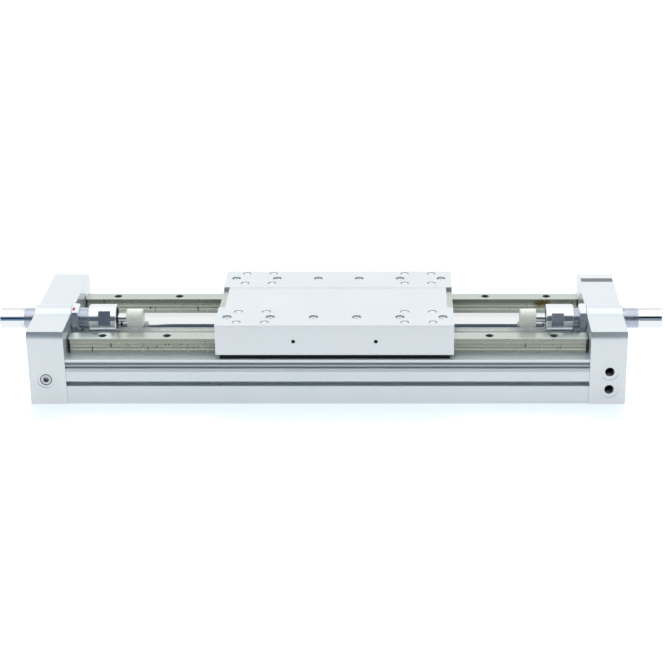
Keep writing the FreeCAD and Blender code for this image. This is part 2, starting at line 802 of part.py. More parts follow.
def slider():
    """Block under the table whose ring magnets drag along with the piston's."""
    place = {"x": P.table_centre, "z": tube_axis}
    half = P.slider_width / 2
    body = new_body("slider_block", **place)
    section = sketch_on(body, "YZ_Plane", "section")
    outline(section, both_sides([
        (half - P.slider_chamfer, -P.slider_drop),
        (half, P.slider_chamfer - P.slider_drop),
        (half, P.slider_rise),
    ]))
    circle(section, (0, 0), P.slider_bore)
    pad(body, section, P.slider_length, "both")
    holes = sketch_on(body, "XY_Plane", "holes", -P.slider_drop)
    bores = sketch_on(body, "XY_Plane", "bores", -P.slider_drop)
    for spot in slider_screw_spots:
        circle(holes, spot, P.slider_thread + P.fit * 4)
        circle(bores, spot, P.slider_head + P.fit * 4)
    pocket(body, holes, P.slider_drop + P.slider_rise, "up")
    pocket(body, bores, P.slider_head_depth, "up")

    screws = new_body("slider_screws", **place)
    seat = P.slider_head_depth - P.slider_drop
    shanks = sketch_on(screws, "XY_Plane", "shanks", seat)
    heads = sketch_on(screws, "XY_Plane", "heads", seat)
    sockets = sketch_on(screws, "XY_Plane", "sockets", P.fit * 10 - P.slider_drop)
    for spot in slider_screw_spots:
        circle(shanks, spot, P.slider_thread)
        circle(heads, spot, P.slider_head)
        hexagon(sockets, spot, P.slider_socket)
    pad(screws, shanks, P.slider_rise - seat + P.slider_reach)
    pad(screws, heads, P.slider_head_depth - P.fit * 10, "down")
    pocket(screws, sockets, P.slider_head_depth / 2, "up")

    outer = P.slider_bore / 2 - P.fit
    pole_bore = tube_radius + P.turn_room
    magnets, poles, half_stack = ring_stack(pole_bore + P.turn_room, pole_bore, outer)
    turned("slider_magnets", magnets, **place)
    turned("slider_poles", poles, **place)
    wear_end = half_stack + P.wear_width
    for name, side in ends:
        wear = span(side, half_stack, wear_end)
        turned("wear_ring_" + name, [ring(*wear, tube_radius + P.slide_fit, outer)], **place)
        wiper = span(side, wear_end, wear_end + P.wiper_width)
        turned("wiper_" + name, [ring(*wiper, tube_radius + P.slide_fit, outer)], **place)


def piston():
    """Piston in the tube: a magnet stack between two heads, clamped by a shouldered shaft and a nut."""
    place = {"x": P.table_centre, "z": tube_axis}
    bore = P.shaft_size / 2 + P.fit
    outer = P.tube_bore / 2 - P.slide_fit
    magnets, poles, half_stack = ring_stack(bore, bore, outer)
    turned("piston_magnets", magnets, **place)
    turned("piston_poles", poles, **place)
    guide = (half_stack + P.guide_start, half_stack + P.guide_start + P.guide_width)
    lip = (half_stack + P.lip_start, half_stack + P.lip_start + P.lip_width)
    head_end = half_stack + P.piston_length
    bumper_end = head_end + P.bumper_width
    shaft_end = bumper_end + P.shaft_head_width
    for name, side in ends:
        turn = 0 if side > 0 else 180
        turned("piston_head_" + name, [[
            (half_stack, bore), (head_end, bore), (head_end, outer - P.piston_chamfer),
            (head_end - P.piston_chamfer, outer),
            (lip[1], outer), (lip[1], outer - P.lip_depth), (lip[0], outer - P.lip_depth), (lip[0], outer),
            (guide[1], outer), (guide[1], outer - P.guide_depth),
            (guide[0], outer - P.guide_depth), (guide[0], outer),
            (half_stack, outer),
        ]], turn=turn, **place)
        seal = ring(*lip, outer - P.lip_depth, outer + P.fit)
        turned("piston_seal_" + name, [seal], turn=turn, **place)
        band = ring(*guide, outer - P.guide_depth, outer + P.fit)
        turned("guide_ring_" + name, [band], turn=turn, **place)
        bumper = ring(head_end, bumper_end, bore, P.bumper_size / 2)
        turned("bumper_" + name, [bumper], turn=turn, **place)
    turned("piston_shaft", [[
        (-shaft_end, 0), (shaft_end, 0), (shaft_end, P.shaft_size / 2), (-bumper_end, P.shaft_size / 2),
        (-bumper_end, P.shaft_head / 2), (-shaft_end, P.shaft_head / 2),
    ]], **place)
    nut = new_body("piston_nut", **place)
    section = sketch_on(nut, "YZ_Plane", "section", bumper_end)
    hexagon(section, (as_size(0), as_size(0)), P.shaft_head)
    circle(section, (0, 0), bore * 2)
    pad(nut, section, P.shaft_head_width)


def shock_absorber(name, side, reach, nut_turn, flat_turn):
    """Screw-in shock absorber; its own frame starts at the nose and runs outwards along minus X."""
    place = {
        "x": side * (half_body - reach),
        "y": -P.shock_offset,
        "z": shock_height,
        "turn": 0 if side < 0 else 180,
    }
    thread = P.shock_thread / 2
    tail = P.tail_size / 2
    sleeve_front = P.shock_stroke + P.turn_room
    sleeve_back = sleeve_front + P.sleeve_length
    body_front = sleeve_front + P.nose_length + P.turn_room
    rod_end = body_front + P.rod_guide
    bore_end = rod_end + P.shock_stroke + P.turn_room
    bore = P.rod_size / 2 + P.slide_fit
    tail_start = P.shock_length - P.tail_length
    turned("shock_body_" + name, [[
        (-P.shock_length, 0), (-bore_end, 0), (-bore_end, bore), (-body_front, bore),
        (-body_front, thread - P.sleeve_chamfer), (-body_front - P.sleeve_chamfer, thread),
        (-tail_start + P.relief_width, thread), (-tail_start + P.relief_width, thread - P.relief_depth),
        (-tail_start, thread - P.relief_depth), (-tail_start, tail),
        (-P.shock_length + P.tail_chamfer, tail), (-P.shock_length, tail - P.tail_chamfer),
    ]], **place)

    nut = new_body("lock_nut_" + name, **place)
    section = sketch_on(nut, "YZ_Plane", "section", -reach)
    hexagon(section, (as_size(0), as_size(0)), P.nut_flats, nut_turn)
    circle(section, (0, 0), P.shock_thread + P.fit * 2)
    pad(nut, section, P.nut_thick)
    corners = sketch_on(nut, "XZ_Plane", "corners")
    low = P.nut_flats / 2 - P.nut_chamfer
    high = P.nut_flats / 2 * 1.2
    rise = (high - low) * math.tan(math.radians(30))
    back, front = -reach, P.nut_thick - reach
    outline(corners, [(front, low), (front, high), (front - rise, high)])
    outline(corners, [(back, low), (back + rise, high), (back, high)])
    groove(nut, corners)

    radius = P.sleeve_size / 2
    sleeve = turned("stop_sleeve_" + name, [[
        (-sleeve_back, thread + P.fit), (-sleeve_front, thread + P.fit),
        (-sleeve_front, radius - P.sleeve_chamfer), (-sleeve_front - P.sleeve_chamfer, radius),
        (-sleeve_back + P.sleeve_chamfer, radius), (-sleeve_back, radius - P.sleeve_chamfer),
    ]], **place)
    flats = sketch_on(sleeve, "YZ_Plane", "flats", -sleeve_front - P.flat_start, flat_turn)
    for across in (-1, 1):
        rectangle(flats, (across * P.flat_size / 2, -radius), (across * radius, radius))
    pocket(sleeve, flats, P.flat_length)

    rod = P.rod_size / 2
    turned("shock_rod_" + name, [[
        (-rod_end, 0), (-P.nose_wall, 0), (-P.nose_wall, rod), (-rod_end, rod),
    ]], **place)
    nose = P.nose_size / 2
    turned("shock_nose_" + name, [[
        (-P.nose_wall, 0), (0, 0), (0, nose - P.nose_chamfer), (-P.nose_chamfer, nose),
        (P.nose_chamfer / 2 - P.nose_length, nose), (-P.nose_length, nose - P.nose_chamfer / 2),
        (-P.nose_length, rod + P.fit), (-P.nose_wall, rod + P.fit),
    ]], **place)


base_profile()
for name, side in ends:
    end_plate(name, side)
    plate_screws(name, side)
port_plug()
cylinder_tube()
for name, side in rail_sides:
    rail(name, side)
    rail_screws(name, side)
for across_name, across in rail_sides:
    for along_name, along in ends:
        runner(across_name + "_" + along_name, across, along)
table()
table_screws()
for name, side in ends:
    stop_plate(name, side)
slider()
piston()
shock_absorber("left", -1, P.reach_left, 17.5, -19)
shock_absorber("right", 1, P.reach_right, 40, 9)

doc.recompute()
for item in doc.Objects:
    if "Invalid" in item.State or "Error" in item.State:
        raise ValueError(item.Label + " failed: " + str(item.State))
for body in NODES:
    if body.Shape.isNull() or not body.Shape.isValid():
        raise ValueError(body.Label + " has no valid shape")

os.makedirs("parts", exist_ok=True)
for body in NODES:
    body.Shape.exportStep(os.path.join("parts", body.Label + ".step"))
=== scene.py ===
import json
import math

import bmesh
import bpy
from mathutils import Matrix, Vector


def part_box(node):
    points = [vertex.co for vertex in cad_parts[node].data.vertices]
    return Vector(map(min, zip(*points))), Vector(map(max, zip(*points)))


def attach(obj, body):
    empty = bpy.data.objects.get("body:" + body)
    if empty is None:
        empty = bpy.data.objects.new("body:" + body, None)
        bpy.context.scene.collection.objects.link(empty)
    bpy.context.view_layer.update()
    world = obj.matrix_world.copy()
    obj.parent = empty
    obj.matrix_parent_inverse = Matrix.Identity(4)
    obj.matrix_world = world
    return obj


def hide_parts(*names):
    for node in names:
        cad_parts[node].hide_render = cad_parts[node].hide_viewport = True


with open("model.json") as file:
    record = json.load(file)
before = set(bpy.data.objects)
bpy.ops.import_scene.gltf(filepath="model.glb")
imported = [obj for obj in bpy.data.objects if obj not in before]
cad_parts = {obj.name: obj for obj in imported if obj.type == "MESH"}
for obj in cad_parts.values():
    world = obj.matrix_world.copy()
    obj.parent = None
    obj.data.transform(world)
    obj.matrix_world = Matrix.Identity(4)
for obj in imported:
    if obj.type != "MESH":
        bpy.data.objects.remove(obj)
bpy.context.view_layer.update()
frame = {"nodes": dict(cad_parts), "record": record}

# Base: one length of aluminium U-section, pressed through a die, cut square and clear anodised.
# Slots in its sides take nuts and sensors. The end plates are screwed to its ends, the rails lie on its
# two top ledges, and the tube runs between them, half in the channel.
MM = 0.001


def linear(hex_colour):
    """An sRGB hex colour as linear red, green, blue, alpha."""
    parts = [int(hex_colour[at:at + 2], 16) / 255 for at in (0, 2, 4)]
    return [p / 12.92 if p <= 0.04045 else ((p + 0.055) / 1.055) ** 2.4 for p in parts] + [1.0]


def add(owner, kind, links=None, **settings):
    """Add one shader node to a material or world; links gives sockets or plain values by input."""
    made = owner.node_tree.nodes.new("ShaderNode" + kind)
    for name, value in settings.items():
        setattr(made, name, value)
    for name, value in (links or {}).items():
        if isinstance(value, bpy.types.NodeSocket):
            owner.node_tree.links.new(value, made.inputs[name])
        else:
            made.inputs[name].default_value = value
    return made


def new_material(name, hex_colour, metallic, roughness):
    """A material with its shader, and the piece's own coordinates in metres."""
    material = bpy.data.materials.new(name)
    material.use_nodes = True
    shader = material.node_tree.nodes["Principled BSDF"]
    shader.inputs["Base Color"].default_value = linear(hex_colour)
    shader.inputs["Metallic"].default_value = metallic
    shader.inputs["Roughness"].default_value = roughness
    place = add(material, "TexCoord").outputs["Object"]
    return material, shader, place


def plug_in(material, socket, shader, name):
    """Let a node's output set one input of the material's shader."""
    material.node_tree.links.new(socket, shader.inputs[name])


def uneven_gloss(material, shader, place, cell, smooth, dull, detail=2.0):
    """Vary the roughness in cells of this size along X, Y and Z in mm, and return the pattern."""
    cells = add(material, "Mapping", {"Vector": place, "Scale": [1 / (side * MM) for side in cell]})
    pattern = add(material, "TexNoise", {"Vector": cells.outputs[0], "Scale": 1.0, "Detail": detail})
    gloss = add(material, "MapRange", {"Value": pattern.outputs["Fac"], "To Min": smooth, "To Max": dull})
    plug_in(material, gloss.outputs[0], shader, "Roughness")
    return pattern.outputs["Fac"]


# The anodised skin is pale and bluish, half satin and half mirror, with long faint lines from the die.
# Real lines lie about 0.2 mm apart. These are 1.1 mm apart, so that they show. The groove under the top
# edge and the channel's floor carry grey painted shade, and the channel's walls pale, matt painted light.
drawn_aluminium, shader, place = new_material("drawn_anodised_aluminium", "E3ECF2", 0.6, 0.3)
die_lines = uneven_gloss(drawn_aluminium, shader, place, (667, 1.11, 1.11), 0.24, 0.38, detail=3.0)
# Sockets of a Mix node that blends two colours. They go by number, because their names repeat.
FACTOR, UNDER, OVER = 0, 6, 7
BLEND = 2
haze = add(drawn_aluminium, "TexNoise", {"Vector": place, "Scale": 1 / (45.5 * MM), "Detail": 4.0})
tint = add(
    drawn_aluminium, "Mix",
    {FACTOR: haze.outputs["Fac"], UNDER: linear("DDE8EF"), OVER: linear("E8F0F5")}, data_type="RGBA",
)


def patch(material, *limits):
    """A mask that is one where every reading has gone from its clear to its full value, in mm."""
    mask = 1.0
    for reading, clear, full in limits:
        ends = {"From Min": clear * MM, "From Max": full * MM}
        fade = add(material, "MapRange", {"Value": reading, **ends})
        mask = add(material, "Math", {0: mask, 1: fade.outputs[0]}, operation="MULTIPLY").outputs[0]
    return mask


spot = add(drawn_aluminium, "SeparateXYZ", {"Vector": place}).outputs
across = add(drawn_aluminium, "Math", {0: spot["Y"]}, operation="ABSOLUTE").outputs[0]
groove = patch(
    drawn_aluminium,
    (across, 74.7, 74.1), (across, 70.0, 71.0), (spot["Z"], 35.4, 36.4), (spot["Z"], 42.0, 41.7),
)
channel_floor = patch(
    drawn_aluminium, (across, 42.4, 41.9), (spot["Z"], 0.4, 2.0), (spot["Z"], 26.0, 24.0),
)
# Painted shade: the groove under the top edge and the channel's floor are mixed towards grey.
painted_shade_mask = add(drawn_aluminium, "Math", {0: groove, 1: channel_floor}, operation="MAXIMUM")
shade_and_specks = add(
    drawn_aluminium, "Mix",
    {FACTOR: painted_shade_mask.outputs[0], UNDER: tint.outputs[BLEND], OVER: linear("B0B8BE")}, data_type="RGBA",
)
# Painted light: the channel's walls are made pale and matt, so that the tube mirrors a bright strip.
channel_wall = patch(
    drawn_aluminium, (across, 43.0, 42.6), (spot["Z"], 25.0, 27.0), (spot["Z"], 44.0, 43.6),
)
lightened_wall = add(
    drawn_aluminium, "Mix",
    {FACTOR: channel_wall, UNDER: shade_and_specks.outputs[BLEND], OVER: linear("F4F7F8")}, data_type="RGBA",
)
plug_in(drawn_aluminium, lightened_wall.outputs[BLEND], shader, "Base Color")
sheen = add(drawn_aluminium, "MapRange", {"Value": channel_wall, "To Min": 0.6, "To Max": 0.0})
plug_in(drawn_aluminium, sheen.outputs[0], shader, "Metallic")
edge = add(drawn_aluminium, "Bevel", {"Radius": 0.25 * MM}, samples=4)
ridge = add(
    drawn_aluminium, "Bump",
    {"Height": die_lines, "Normal": edge.outputs[0], "Strength": 0.12, "Distance": 0.05 * MM},
)
plug_in(drawn_aluminium, ridge.outputs[0], shader, "Normal")


def dress(material, *names):
    """Give CAD pieces their finish."""
    for name in names:
        for slot in frame["nodes"][name].material_slots:
            slot.material = material


dress(drawn_aluminium, "base_profile")


# Cylinder tube: thin stainless steel tube, drawn, ground and polished for the wipers that run on it.
# It isn't magnetic, so the magnets pull through its wall. Its ends stand in seats in the end plates.
def spun(shape, points, hollow=False, around=96):
    """Turn (along, radius) points about X; they begin and end on the axis or, if hollow, form a ring."""
    corners = [shape.verts.new((along, 0, radius)) for along, radius in points]
    ends = corners[:1] if hollow else []
    profile = [shape.edges.new(pair) for pair in zip(corners, corners[1:] + ends)]
    bmesh.ops.spin(
        shape, geom=corners + profile, cent=(0, 0, 0), axis=(1, 0, 0), angle=math.tau, steps=around,
        use_merge=True,
    )
    bmesh.ops.remove_doubles(shape, verts=shape.verts, dist=0.001 * MM)
    bmesh.ops.recalc_face_normals(shape, faces=shape.faces)


def new_piece(name, shape, material, body):
    """Make the shape a piece of one body, smooth except where it turns by more than 35 degrees."""
    mesh = bpy.data.meshes.new(name)
    shape.to_mesh(mesh)
    shape.free()
    mesh.materials.append(material)
    mesh.shade_smooth()
    mesh.set_sharp_from_angle(angle=math.radians(35))
    piece = bpy.data.objects.new(name, mesh)
    bpy.context.scene.collection.objects.link(piece)
    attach(piece, body)
    return piece


# Polished stainless steel mirrors its surroundings in long clean bands. Real belt marks are finer than
# 0.1 mm. These rings are 0.7 mm apart, so that they soften the mirror a little.
polished_steel, shader, place = new_material("polished_stainless_steel", "E6E8E9", 1.0, 0.07)
uneven_gloss(polished_steel, shader, place, (0.714, 16.7, 16.7), 0.05, 0.12)
lowest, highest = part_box("cylinder_tube")
outer = (highest.z - lowest.z) / 2
bore = 12.5 * MM
tube = bmesh.new()
spun(tube, [(lowest.x, bore), (lowest.x, outer), (highest.x, outer), (highest.x, bore)], hollow=True)
bmesh.ops.translate(tube, verts=tube.verts, vec=(0, 0, (lowest.z + highest.z) / 2))
ground_tube = new_piece("ground_tube", tube, polished_steel, "base")
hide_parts("cylinder_tube")

# Tube seals: nitrile rubber rings, moulded, and pressed between the tube and its seats in the end plates.
# They keep the air in the tube, and only a thin line of each shows.

# Nitrile is a deep matt black, which its bloom dulls unevenly in patches of a few millimetres.
rubber, shader, place = new_material("nitrile_rubber", "121315", 0.0, 0.62)
shader.inputs["Specular IOR Level"].default_value = 0.2
uneven_gloss(rubber, shader, place, (3.33, 3.33, 3.33), 0.5, 0.75, detail=4.0)
dress(rubber, "tube_seal_left", "tube_seal_right")

# End plates: milled aluminium blocks, blasted and clear anodised, each held to the base by four screws.
# A half-round boss carries the shock absorber, and the right plate has the two air ports in its front.
low_port, high_port = [
    Vector(mount["pos_m"]) for mount in frame["record"]["mounts"] if mount["kind"] == "threaded_hole"
]

# The blasted skin is an even pale satin that darkens only where it faces something dark. Real pits are
# about 0.05 mm wide. These are 0.45 mm, so that they show. The ports' insides carry near-black painted
# shade.
blasted_aluminium, shader, place = new_material("blasted_anodised_aluminium", "E3EBF1", 0.62, 0.25)
haze = uneven_gloss(blasted_aluminium, shader, place, (55.6, 55.6, 55.6), 0.2, 0.29, detail=5.0)
tint = add(
    blasted_aluminium, "Mix",
    {FACTOR: haze, UNDER: linear("DEE8EE"), OVER: linear("E8EEF3")}, data_type="RGBA",
)
grit = add(blasted_aluminium, "TexNoise", {"Vector": place, "Scale": 1 / (0.455 * MM), "Detail": 2.0})
edge = add(blasted_aluminium, "Bevel", {"Radius": 0.35 * MM}, samples=4)
pits = add(
    blasted_aluminium, "Bump",
    {"Height": grit.outputs["Fac"], "Normal": edge.outputs[0], "Strength": 0.10, "Distance": 0.04 * MM},
)
plug_in(blasted_aluminium, pits.outputs[0], shader, "Normal")
spot = add(blasted_aluminium, "SeparateXYZ", {"Vector": place}).outputs
offset = add(blasted_aluminium, "Math", {0: spot["X"], 1: low_port.x}, operation="SUBTRACT")
port_side = add(blasted_aluminium, "Math", {0: offset.outputs[0]}, operation="ABSOLUTE").outputs[0]
# Painted shade: the inside of both ports is made nearly black.
port_inside = patch(
    blasted_aluminium,
    (port_side, 5.6, 5.0), (spot["Y"], -75.1, -74.2), (spot["Y"], -58.0, -60.0),
    (spot["Z"], 4.0, 6.0), (spot["Z"], 42.0, 40.0),
)
painted_port_shade = add(
    blasted_aluminium, "Mix",
    {FACTOR: port_inside, UNDER: tint.outputs[BLEND], OVER: linear("33373A")}, data_type="RGBA",
)
plug_in(blasted_aluminium, painted_port_shade.outputs[BLEND], shader, "Base Color")
dress(blasted_aluminium, "end_plate_left", "end_plate_right")

# Screws of the end plates, and the plug that closes the unused port in the left plate. They are steel,
# cold-headed with a hexagon socket, with rolled threads and bright zinc plating.

# The plating is a pale grey mirror, dulled by fine crystals. Real ones are about 0.02 mm wide. These
# patches are 2 mm, so that they show.
zinc_screw, shader, place = new_material("zinc_plated_screw_steel", "C2C8CC", 1.0, 0.3)
uneven_gloss(zinc_screw, shader, place, (2, 2, 2), 0.22, 0.4, detail=3.0)
edge = add(zinc_screw, "Bevel", {"Radius": 0.2 * MM}, samples=4)
plug_in(zinc_screw, edge.outputs[0], shader, "Normal")
dress(zinc_screw, "plate_screws_left", "plate_screws_right", "port_plug")

# Sealing ring of the plug: a flat ring of black rubber, moulded with one rounded edge.
# It lies in the spot face round the plug's head, which presses it down.
ring_inside = 4.9 * MM
ring_outside = 5.4 * MM
ring_height = 0.4 * MM
ring_rounding = 0.1 * MM
plug_seat = (-260.5 * MM, -75.4 * MM, 24.4 * MM)
gasket = bmesh.new()
spun(gasket, [
    (0, ring_inside), (0, ring_outside), (ring_height - ring_rounding, ring_outside),
    (ring_height, ring_outside - ring_rounding), (ring_height, ring_inside),
], hollow=True)
to_front = Matrix.Rotation(math.radians(-90), 3, "Z")
bmesh.ops.rotate(gasket, verts=gasket.verts, cent=(0, 0, 0), matrix=to_front)
bmesh.ops.translate(gasket, verts=gasket.verts, vec=plug_seat)
new_piece("plug_seal", gasket, rubber, "base")


# Threads of the air ports and of the foot holes: cut with taps before the end plates are anodised.
# The ports are G 1/8 with 28 threads to the inch. The foot holes are M8, for screws from below.
def thread_ridge(shape, mouth, inward, wall, depth, pitch, length):
    """A helical ridge on the wall of a round hole, running inwards from its mouth."""
    around = 24
    inward = Vector(inward)
    side = inward.orthogonal().normalized()
    half = pitch * 0.45
    crest = 0.15
    corners = [
        shape.verts.new(Vector(mouth) + inward * (half + half * along) + side * radius)
        for along, radius in ((-1, wall), (1, wall), (crest, wall - depth), (-crest, wall - depth))
    ]
    loop = [shape.edges.new(pair) for pair in zip(corners, corners[1:] + corners[:1])]
    turns = int(length / pitch) - 1
    bmesh.ops.spin(
        shape, geom=corners + loop, cent=mouth, axis=inward, dvec=inward * pitch / around,
        angle=math.tau * turns, steps=around * turns,
    )


def repeat(shape, steps):
    """Add a moved copy of all that the shape holds for every step."""
    whole = shape.verts[:] + shape.edges[:] + shape.faces[:]
    for step in steps:
        copies = bmesh.ops.duplicate(shape, geom=whole)["geom"]
        corners = [item for item in copies if isinstance(item, bmesh.types.BMVert)]
        bmesh.ops.translate(shape, verts=corners, vec=step)


def close_ends(shape):
    """Fill the open ends of the shape and turn all faces outwards."""
    rims = [edge for edge in shape.edges if edge.is_boundary]
    bmesh.ops.holes_fill(shape, edges=rims, sides=0)
    bmesh.ops.recalc_face_normals(shape, faces=shape.faces)


# Tapped aluminium looks darker than the skin, because its flanks shade each other and hold oil. Real tool
# marks are about 0.1 mm wide. These are 1.1 mm, so that they show.
cut_metal, shader, place = new_material("tapped_anodised_aluminium", "5C6367", 1.0, 0.32)
uneven_gloss(cut_metal, shader, place, (1.11, 1.11, 1.11), 0.25, 0.42)
ports = bmesh.new()
thread_ridge(
    ports, low_port, (0, 1, 0), wall=4.4 * MM, depth=0.45 * MM, pitch=0.907 * MM, length=10.5 * MM,
)
repeat(ports, [high_port - low_port])
close_ends(ports)
new_piece("port_threads", ports, cut_metal, "base")

foot_bolts = next(mount["dims"] for mount in frame["record"]["mounts"] if mount["name"] == "foot_bolts")
feet_along = foot_bolts["spacing_x_mm"] * MM
feet_across = foot_bolts["spacing_y_mm"] * MM
first_foot = (-feet_along / 2, -feet_across / 2, 0.3 * MM)
feet = bmesh.new()
thread_ridge(
    feet, first_foot, (0, 0, 1), wall=3.4 * MM, depth=0.5 * MM, pitch=1.25 * MM, length=12.5 * MM,
)
repeat(feet, [(feet_along, 0, 0)])
repeat(feet, [(0, feet_across, 0)])
close_ends(feet)
new_piece("foot_threads", feet, cut_metal, "base")

# Blank film on top of the right end plate: a thin white polyester sheet with rounded corners.
# It is cut from a roll and stuck down, and one plain grey band is printed across it.
film_size = Vector((30.8, 21.8, 0.12)) * MM
film_middle = Vector((259.8, 63.1, 72.06)) * MM
film_corner = 1.2 * MM
band_start = 52.9 * MM
band_end = 62.5 * MM
film = bmesh.new()
bmesh.ops.create_cube(film, size=1.0, matrix=Matrix.Diagonal((*film_size, 1)))
uprights = [
    edge for edge in film.edges
    if abs(edge.verts[0].co.z - edge.verts[1].co.z) > film_size.z / 2
]
bmesh.ops.bevel(
    film, geom=uprights, offset=film_corner, segments=4, profile=0.5, affect="EDGES", material=-1,
)
bmesh.ops.translate(film, verts=film.verts, vec=film_middle)

# Polyester is smooth and white with a soft gloss, and the ink of the band is a plain cool grey.
polyester, shader, place = new_material("printed_polyester_film", "E6EDF1", 0.0, 0.3)
across = add(polyester, "SeparateXYZ", {"Vector": place}).outputs["Y"]
past_start = add(polyester, "Math", {0: across, 1: band_start}, operation="GREATER_THAN")
before_end = add(polyester, "Math", {0: across, 1: band_end}, operation="LESS_THAN")
band = add(polyester, "Math", {0: past_start.outputs[0], 1: before_end.outputs[0]}, operation="MULTIPLY")
ink = add(
    polyester, "Mix",
    {FACTOR: band.outputs[0], UNDER: linear("E6EDF1"), OVER: linear("5F676D")}, data_type="RGBA",
)
plug_in(polyester, ink.outputs[BLEND], shader, "Base Color")
new_piece("blank_film", film, polyester, "base")

# Profile rails: bars of bearing steel, drawn, hardened and ground, with grooves in which the balls roll.
# Each is screwed down on its ledge of the base through counterbored holes.
rail_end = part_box("rail_front")[1].x / MM
stain_middle = (205, 42.5, 53.5)
stain_reach = (10, 6, 5)

# Ground steel is a pale, dull mirror, and the tops are wiped clean. The flanks carry greenish grey painted
# shade, darkest above the groove. Dark specks and streaks and one brown stain lie on them. Both rail ends
# carry black painted shade below the top, and the near rail's flank beside the tube pale painted light.
ground_steel, shader, place = new_material("ground_rail_steel", "C6CFC8", 0.95, 0.26)
oil_film = uneven_gloss(ground_steel, shader, place, (33.3, 33.3, 33.3), 0.24, 0.32, detail=3.0)
tint = add(
    ground_steel, "Mix",
    {FACTOR: oil_film, UNDER: linear("BFC9BF"), OVER: linear("CCD5CF")}, data_type="RGBA",
)
spot = add(ground_steel, "SeparateXYZ", {"Vector": place}).outputs
below_top = (spot["Z"], 57.9, 57.5)
flank = patch(ground_steel, below_top)
# Painted shade: the flanks below the top are mixed darker and greener than the tops.
flank_shade = add(
    ground_steel, "Mix",
    {FACTOR: flank, UNDER: tint.outputs[BLEND], OVER: linear("C6CDBF")}, data_type="RGBA",
)
# Painted shade: the flank above the groove is mixed darker still.
upper_flank = patch(ground_steel, below_top, (spot["Z"], 53.8, 54.4))
upper_flank_shade = add(
    ground_steel, "Mix",
    {FACTOR: upper_flank, UNDER: flank_shade.outputs[BLEND], OVER: linear("A2A89C")}, data_type="RGBA",
)
runs = add(
    ground_steel, "Mapping",
    {"Vector": place, "Scale": (1 / (3.03 * MM), 1 / (3.03 * MM), 1 / (8.66 * MM))},
)
specks = add(ground_steel, "TexNoise", {"Vector": runs.outputs[0], "Scale": 1.0, "Detail": 2.0})
flecks = add(ground_steel, "MapRange", {"Value": specks.outputs["Fac"], "From Min": 0.66, "From Max": 0.71})
on_flank = add(ground_steel, "Math", {0: flecks.outputs[0], 1: flank}, operation="MULTIPLY")
shade_and_specks = add(
    ground_steel, "Mix",
    {FACTOR: on_flank.outputs[0], UNDER: upper_flank_shade.outputs[BLEND], OVER: linear("3A3A30")}, data_type="RGBA",
)
from_middle = add(ground_steel, "Mapping", {
    "Vector": place,
    "Location": [-middle / reach for middle, reach in zip(stain_middle, stain_reach)],
    "Scale": [1 / (reach * MM) for reach in stain_reach],
})
far = add(ground_steel, "VectorMath", {0: from_middle.outputs[0]}, operation="LENGTH").outputs["Value"]
near = add(ground_steel, "MapRange", {"Value": far, "From Min": 1.4, "From Max": 0.2})
blot = add(ground_steel, "TexNoise", {"Vector": place, "Scale": 1 / (3.333 * MM), "Detail": 4.0})
ragged = add(ground_steel, "Math", {0: near.outputs[0], 1: blot.outputs["Fac"]}, operation="MULTIPLY")
stain = add(ground_steel, "MapRange", {"Value": ragged.outputs[0], "From Min": 0.16, "From Max": 0.4})
stained = add(
    ground_steel, "Mix",
    {FACTOR: stain.outputs[0], UNDER: shade_and_specks.outputs[BLEND], OVER: linear("7A6C34")}, data_type="RGBA",
)
# Painted light: the near rail's flank beside the tube is made pale and less metallic.
beside_tube = patch(ground_steel, (spot["Y"], -43.3, -43.0), (spot["Y"], 0.0, -1.0))
lightened_flank = add(
    ground_steel, "Mix",
    {FACTOR: beside_tube, UNDER: stained.outputs[BLEND], OVER: linear("F6F8F6")}, data_type="RGBA",
)
along = add(ground_steel, "Math", {0: spot["X"]}, operation="ABSOLUTE").outputs[0]
# Painted shade: the last two millimetres of each rail below the top are made nearly black.
rail_end_shade = patch(ground_steel, below_top, (along, rail_end - 2, rail_end - 1))
steel_colour = add(
    ground_steel, "Mix",
    {FACTOR: rail_end_shade, UNDER: lightened_flank.outputs[BLEND], OVER: linear("1B1B17")}, data_type="RGBA",
)
plug_in(ground_steel, steel_colour.outputs[BLEND], shader, "Base Color")
bare = add(ground_steel, "MapRange", {"Value": flank, "To Min": 0.95, "To Max": 0.45})
sheen = add(
    ground_steel, "Math", {0: beside_tube, 1: -0.45, 2: bare.outputs[0]}, operation="MULTIPLY_ADD",
)
plug_in(ground_steel, sheen.outputs[0], shader, "Metallic")
edge = add(ground_steel, "Bevel", {"Radius": 0.2 * MM}, samples=4)
plug_in(ground_steel, edge.outputs[0], shader, "Normal")
dress(ground_steel, "rail_front", "rail_back")

# Rail screws: hardened steel socket screws, cold-headed, with rolled threads and a black oxide finish.
# Their heads sit at the bottom of the counterbores, below the rail's top.

# Black oxide is a dark grey with a dull shine, uneven where oil has soaked in.
black_screw, shader, place = new_material("black_oxide_screw_steel", "4A4D50", 1.0, 0.42)
uneven_gloss(black_screw, shader, place, (1.67, 1.67, 1.67), 0.34, 0.52, detail=3.0)
dress(black_screw, "rail_screws_front", "rail_screws_back")

# Runner blocks: ground steel blocks that wrap the rails, two on each, screwed to the table from above.
# Caps of moulded plastic at both ends of each block turn the balls round.

# The moulded plastic is nearly black with a dull shine. The real grain of the mould is about 0.1 mm wide.
# Here it is 1.1 mm, so that it shows.
cap_plastic, shader, place = new_material("moulded_cap_plastic", "22262A", 0.0, 0.45)
uneven_gloss(cap_plastic, shader, place, (1.11, 1.11, 1.11), 0.38, 0.55)
runners = [rail + "_" + end for rail in ("front", "back") for end in ("left", "right")]
for name in runners:
    dress(ground_steel, "runner_" + name)
    dress(cap_plastic, "runner_caps_" + name)

